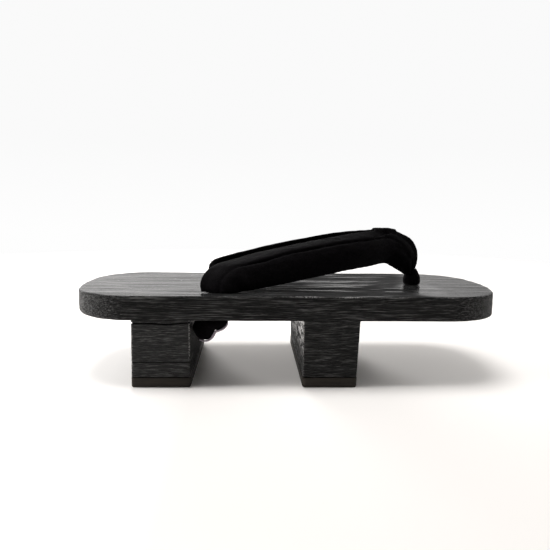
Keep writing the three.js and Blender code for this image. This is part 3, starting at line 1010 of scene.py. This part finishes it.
def make_strap(material):
    rings = half_strap()
    mirrored = [(ring * (1, -1, 1))[::-1] for ring in rings]
    piece = fuse("strap_band", [loft(rings), loft(mirrored)], STRAP_VOXEL, 2)
    for height in (fold_height, pleat_height, wrinkle_height):
        push_out(piece.data, height)
    points = mesh_points(piece.data)
    points[:, 2] = np.maximum(points[:, 2], SEAT - STRAP_SINK)
    set_points(piece.data, points)
    finish_piece(piece, material, ["strap"])


# Toe post: up is a share of NECK_HEIGHT, radius and shift are shares of COLLAR_RADIUS, tilt is a slope

COLLAR_ROWS = np.array([
    (0.00, 0.84, 0.00, 0.00),
    (0.06, 0.95, 0.00, 0.00),
    (0.20, 1.00, 0.00, 0.00),
    (0.40, 1.00, 0.00, 0.05),
    (0.60, 0.95, -0.02, 0.15),
    (0.80, 0.84, -0.10, 0.33),
    (1.00, 0.70, -0.20, 0.56),
])
COLLAR_PLEATS, COLLAR_SIDES = 11, 132


def make_post(material):
    rings = []
    stem = FRONT_HOLE_RADIUS - HOLE_GAP
    turns = full_turn(COLLAR_SIDES)
    for height in np.linspace(DECK_BOTTOM, SEAT - 0.1, 8):
        rings.append(circle(FRONT_HOLE_X, 0, height, stem, COLLAR_SIDES))
    for up, radius, shift, tilt in through(COLLAR_ROWS, np.linspace(0, len(COLLAR_ROWS) - 1, 37)):
        wander = 0.5 * np.sin(2 * turns + 4 * up) + 0.3 * np.sin(3 * turns + 1)
        pleat = 0.022 * np.sin(COLLAR_PLEATS * turns + wander) * smooth_step(up, 0.0, 0.25)
        reach = radius * COLLAR_RADIUS * (1 + pleat)
        x = reach * np.cos(turns)
        rings.append(np.column_stack([
            FRONT_HOLE_X + shift * COLLAR_RADIUS + x,
            reach * np.sin(turns),
            SEAT + up * NECK_HEIGHT + tilt * x,
        ]))
    points, faces = loft(rings[::-1])
    piece = make_piece("toe_post_collar", points, faces, material, "strap_cloth", ["toe_post"])


# Knots under the deck. Lobes are shares of the knot's size from the middle of its hole.
# Columns: place along, across and down, then the radii

FRONT_KNOT_SIZE = np.array([17.0, 16.0, 7.4])
REAR_KNOT_SIZE = np.array([21.0, 15.0, 14.6])
FRONT_LOBES = [(0.0, 0.0, -0.5, 0.5, 0.4, 0.5), (-0.17, 0.0, -0.53, 0.31, 0.5, 0.45)]
REAR_LOBES = [
    (-0.34, 0.0, -0.5, 0.31, 0.46, 0.5),
    (0.05, 0.06, -0.29, 0.29, 0.36, 0.27),
    (-0.1, -0.05, -0.3, 0.3, 0.5, 0.28),
]
KNOT_VOXEL = 0.5


def lobe(centre, radii, sides=36, bands=20):
    rings = []
    for band in range(1, bands):
        angle = math.pi * band / bands
        rings.append(centre + circle(0, 0, math.cos(angle), math.sin(angle), sides) * radii)
    return loft(rings)


def rod(x, y, low, high, radius, sides=40):
    return loft([circle(x, y, height, radius, sides) for height in np.linspace(high, low, 8)])


def make_knot(name, node, place, side, size, lobes, material, tail=None):
    """Fused lobes with folds pressed into them, and a tail of this radius up through the board's hole."""
    top = DECK_BOTTOM - SEAT_GAP
    bodies = []
    for x, y, z, rx, ry, rz in lobes:
        centre = np.array([place[0] + x * size[0], place[1] + side * y * size[1], top + z * size[2]])
        bodies.append(lobe(centre, np.array([rx, ry, rz]) * size))
    if tail:
        bodies.append(rod(place[0], place[1], DECK_BOTTOM - size[2] / 3, DECK_TOP, tail))

    def knot_folds(points):
        swing = (points - [place[0], place[1], top]) @ np.array([0.55, 0.25 * side, 0.8])
        wander = noise_at(points, (7, 7, 7), 6.0)
        return 0.25 * np.sin(0.9 * swing + 1.6 * wander) * smooth_step(top - points[:, 2], 0.4, 2.5)

    piece = fuse(name, bodies, KNOT_VOXEL, 1)
    push_out(piece.data, knot_folds)
    set_points(piece.data, np.clip(mesh_points(piece.data), *node_box(node)))
    finish_piece(piece, material, [node])


# Hem of the tied cloth along the lower rim of each rear knot, as places from the middle of the hole at the
# board's underside: along, across outwards and down, in millimetres

HEM_LINE = np.array([
    (7.0, 3.0, -3.2), (6.2, 3.4, -5.2), (4.2, 3.8, -7.0), (1.6, 4.0, -8.1), (-0.2, 4.0, -8.6),
    (-1.1, 3.4, -10.4), (-2.6, 3.2, -12.7), (-4.9, 3.0, -14.2), (-7.4, 3.0, -14.5), (-9.8, 2.8, -13.8),
])
HEM_RADIUS = 0.75
HEM_SHIFT = (0.1, 1.0)


def make_hem(name, side, material):
    line = through(HEM_LINE, np.linspace(0, len(HEM_LINE) - 1, 60))
    along, across = HEM_SHIFT
    centre = np.array([REAR_HOLE_X + along, side * (REAR_HOLE_Y + across), DECK_BOTTOM - SEAT_GAP])
    line = centre + line * (1, side, 1)
    turns = full_turn(14)
    rings = []
    for k, point in enumerate(line):
        way = line[min(k + 1, len(line) - 1)] - line[max(k - 1, 0)]
        way /= np.linalg.norm(way)
        first = np.cross(way, (0, 1, 0))
        first /= np.linalg.norm(first)
        second = np.cross(way, first)
        taper = math.sin(math.pi * (k + 1) / (len(line) + 1)) ** 0.4
        spread = HEM_RADIUS * taper * (np.outer(np.cos(turns), first) + np.outer(np.sin(turns), second))
        rings.append(point + spread)
    make_piece(name, *loft(rings), material, "strap_cloth", None)


# Stage: floor, world and lights

FLOOR_RADIUS = 3.0
FLOOR_FADE = (0.34, 0.85)
GLOW_UNDER_HEEL, GLOW = (-55, -110), 0.22
BACKDROP_WHITES = (0.99, 0.955)
STUDIO_TINT = (1.015, 1.0, 0.99)


def make_floor():
    """A pale disc in metres, lit a little from itself under the heel and faded into the backdrop."""
    mesh = bpy.data.meshes.new("floor")
    rim = circle(0, 0, 0, FLOOR_RADIUS, 96).tolist()
    mesh.from_pydata(rim, [], [list(range(len(rim)))])
    floor = new_object("floor", mesh)
    material, tree, shader = new_material("floor")
    shader.inputs["Base Color"].default_value = grey(0.89, 0.035)
    shader.inputs["Roughness"].default_value = 0.9
    shader.inputs["Specular IOR Level"].default_value = 0.1
    place = add_node(tree, "ShaderNodeTexCoord").outputs["Object"]
    far = map_range(tree, vector_math(tree, "LENGTH", place), *FLOOR_FADE)
    clear = add_node(tree, "ShaderNodeBsdfTransparent")
    glow = fade(tree, split(tree, place)["X"], GLOW_UNDER_HEEL, 0.0, GLOW)
    tree.links.new(glow, shader.inputs["Emission Strength"])
    shader.inputs["Emission Color"].default_value = grey(1.0)
    mixed = add_node(tree, "ShaderNodeMixShader", {0: far, 1: shader.outputs[0], 2: clear.outputs[0]})
    tree.links.new(mixed.outputs[0], tree.nodes["Material Output"].inputs["Surface"])
    mesh.materials.append(material)


def make_world():
    """A studio that is bright behind the shoe and dim before it. The camera sees a plain pale backdrop."""
    world = bpy.data.worlds.new("studio")
    bpy.context.scene.world = world
    world.use_nodes = True
    tree = world.node_tree
    parts = split(tree, add_node(tree, "ShaderNodeTexCoord").outputs["Generated"])
    behind = map_range(tree, parts["Y"], -0.2, 0.6, 0.1, 1.0)
    sideways = map_range(tree, parts["X"], -0.3, 0.4, 1.3, 0.6)
    high = map_range(tree, parts["Z"], 0.16, 0.5, 1.0, 0.25)
    low = math_node(tree, "MULTIPLY", math_node(tree, "MULTIPLY", behind, sideways), high)
    above = map_range(tree, parts["Z"], 0.5, 1.0, 0.0, 0.3)
    total = math_node(tree, "ADD", low, above)
    seen = add_node(tree, "ShaderNodeLightPath").outputs["Is Camera Ray"]
    warm = add_node(tree, "ShaderNodeVectorMath", {0: STUDIO_TINT, "Scale": total}, operation="SCALE")
    paper = map_range(tree, parts["Z"], -0.06, 0.08, *BACKDROP_WHITES)
    backdrop = add_node(tree, "ShaderNodeCombineXYZ", {0: paper, 1: paper, 2: paper}).outputs[0]
    colour = mix_colour(tree, seen, warm.outputs[0], backdrop)
    tree.links.new(colour, tree.nodes["Background"].inputs["Color"])


def area_light(name, place, power, size):
    data = bpy.data.lights.new(name, "AREA")
    data.energy, data.shape, data.size = power, "DISK", size
    light = new_object(name, data)
    light.location = place
    light.rotation_euler = (-Vector(place)).to_track_quat("-Z", "Y").to_euler()
    light.visible_camera = False
    light.visible_glossy = False


def make_stage():
    make_floor()
    make_world()
    area_light("overhead", (-0.1, 0.04, 1.3), 10.0, 0.7)
    area_light("left", (-1.2, -0.1, 0.3), 16.0, 0.5)
    area_light("behind", (-0.3, 1.2, 0.25), 23.0, 0.5)
    area_light("right", (1.0, 0.1, 0.3), 4.0, 0.5)
    settings = bpy.context.scene.view_settings
    settings.view_transform = "Standard"
    settings.look = "None"


# The shoe

make_camera()
make_stage()

tread_line = (node_box("rear_tread")[1][2] + 0.1, 0.1, 0.1)
lift_line = (node_box("rear_lift")[1][2], 0.1, 0.15)
board_wood = wood_material(
    "board_wood", streak=24, pitch=0.6, waviness=0.8, dark=0.006, light=0.098, depth=1.3, cracked_heel=True
)
front_wood = wood_material(
    "front_wood", streak=14, pitch=0.6, waviness=1.0, dark=0.01, light=0.09, depth=1.2, end_depth=0.3,
    end_light=0.4, end_roughness=(0.1, 0.75), joints=[tread_line],
)
rear_wood = wood_material(
    "rear_wood", streak=10, pitch=0.62, waviness=1.4, dark=0.02, light=0.075, depth=0.9, end_light=0.03,
    end_roughness=(0.55, 0.85), joints=[lift_line, tread_line],
)
rubber = rubber_material()
band_cloth = cloth_material("band_cloth", 0.0012, 0.0038, 0.025)
hem_cloth = cloth_material("hem_cloth", 0.3, 0.5, 0.0)

make_deck(board_wood)
# Each block's corner specks, set here, are partly rubbed bare wood and partly painted highlight glints.
for node, rounds, wood, settings in (
    ("rear_tooth", (1.0, 0.05, 0.12), rear_wood, {"wear_and_glints": 1.0, "gaps": (GLUE_GAP, 0), "jointed": True}),
    ("rear_lift", (1.0, 0.12, 0.12), rear_wood, {"wear_and_glints": 1.0, "gaps": (GLUE_GAP, GLUE_GAP)}),
    ("front_tooth", (1.0, 0.02, 0.12), front_wood, {"slope": 1.6, "gaps": (GLUE_GAP, 0)}),
):
    make_block(f"{node}_block", node, rounds, wood, "stained_wood", wood_relief, **settings)
for node in ("rear_tread", "front_tread"):
    rounds = (2.2, 0.12, 1.2)
    make_block(f"{node}_pad", node, rounds, rubber, "tread_rubber", rubber_relief, gaps=(0, GLUE_GAP))
make_strap(band_cloth)
make_post(band_cloth)
make_knot(
    "front_knot_cloth", "front_knot", (FRONT_HOLE_X, 0.0), 1, FRONT_KNOT_SIZE, FRONT_LOBES, band_cloth
)
tail = REAR_HOLE_RADIUS - HOLE_GAP
for word, side in (("right", -1), ("left", 1)):
    knot, hole = f"rear_knot_{word}", (REAR_HOLE_X, side * REAR_HOLE_Y)
    make_knot(f"rear_knot_cloth_{word}", knot, hole, side, REAR_KNOT_SIZE, REAR_LOBES, band_cloth, tail)
    make_hem(f"rear_knot_hem_{word}", side, hem_cloth)
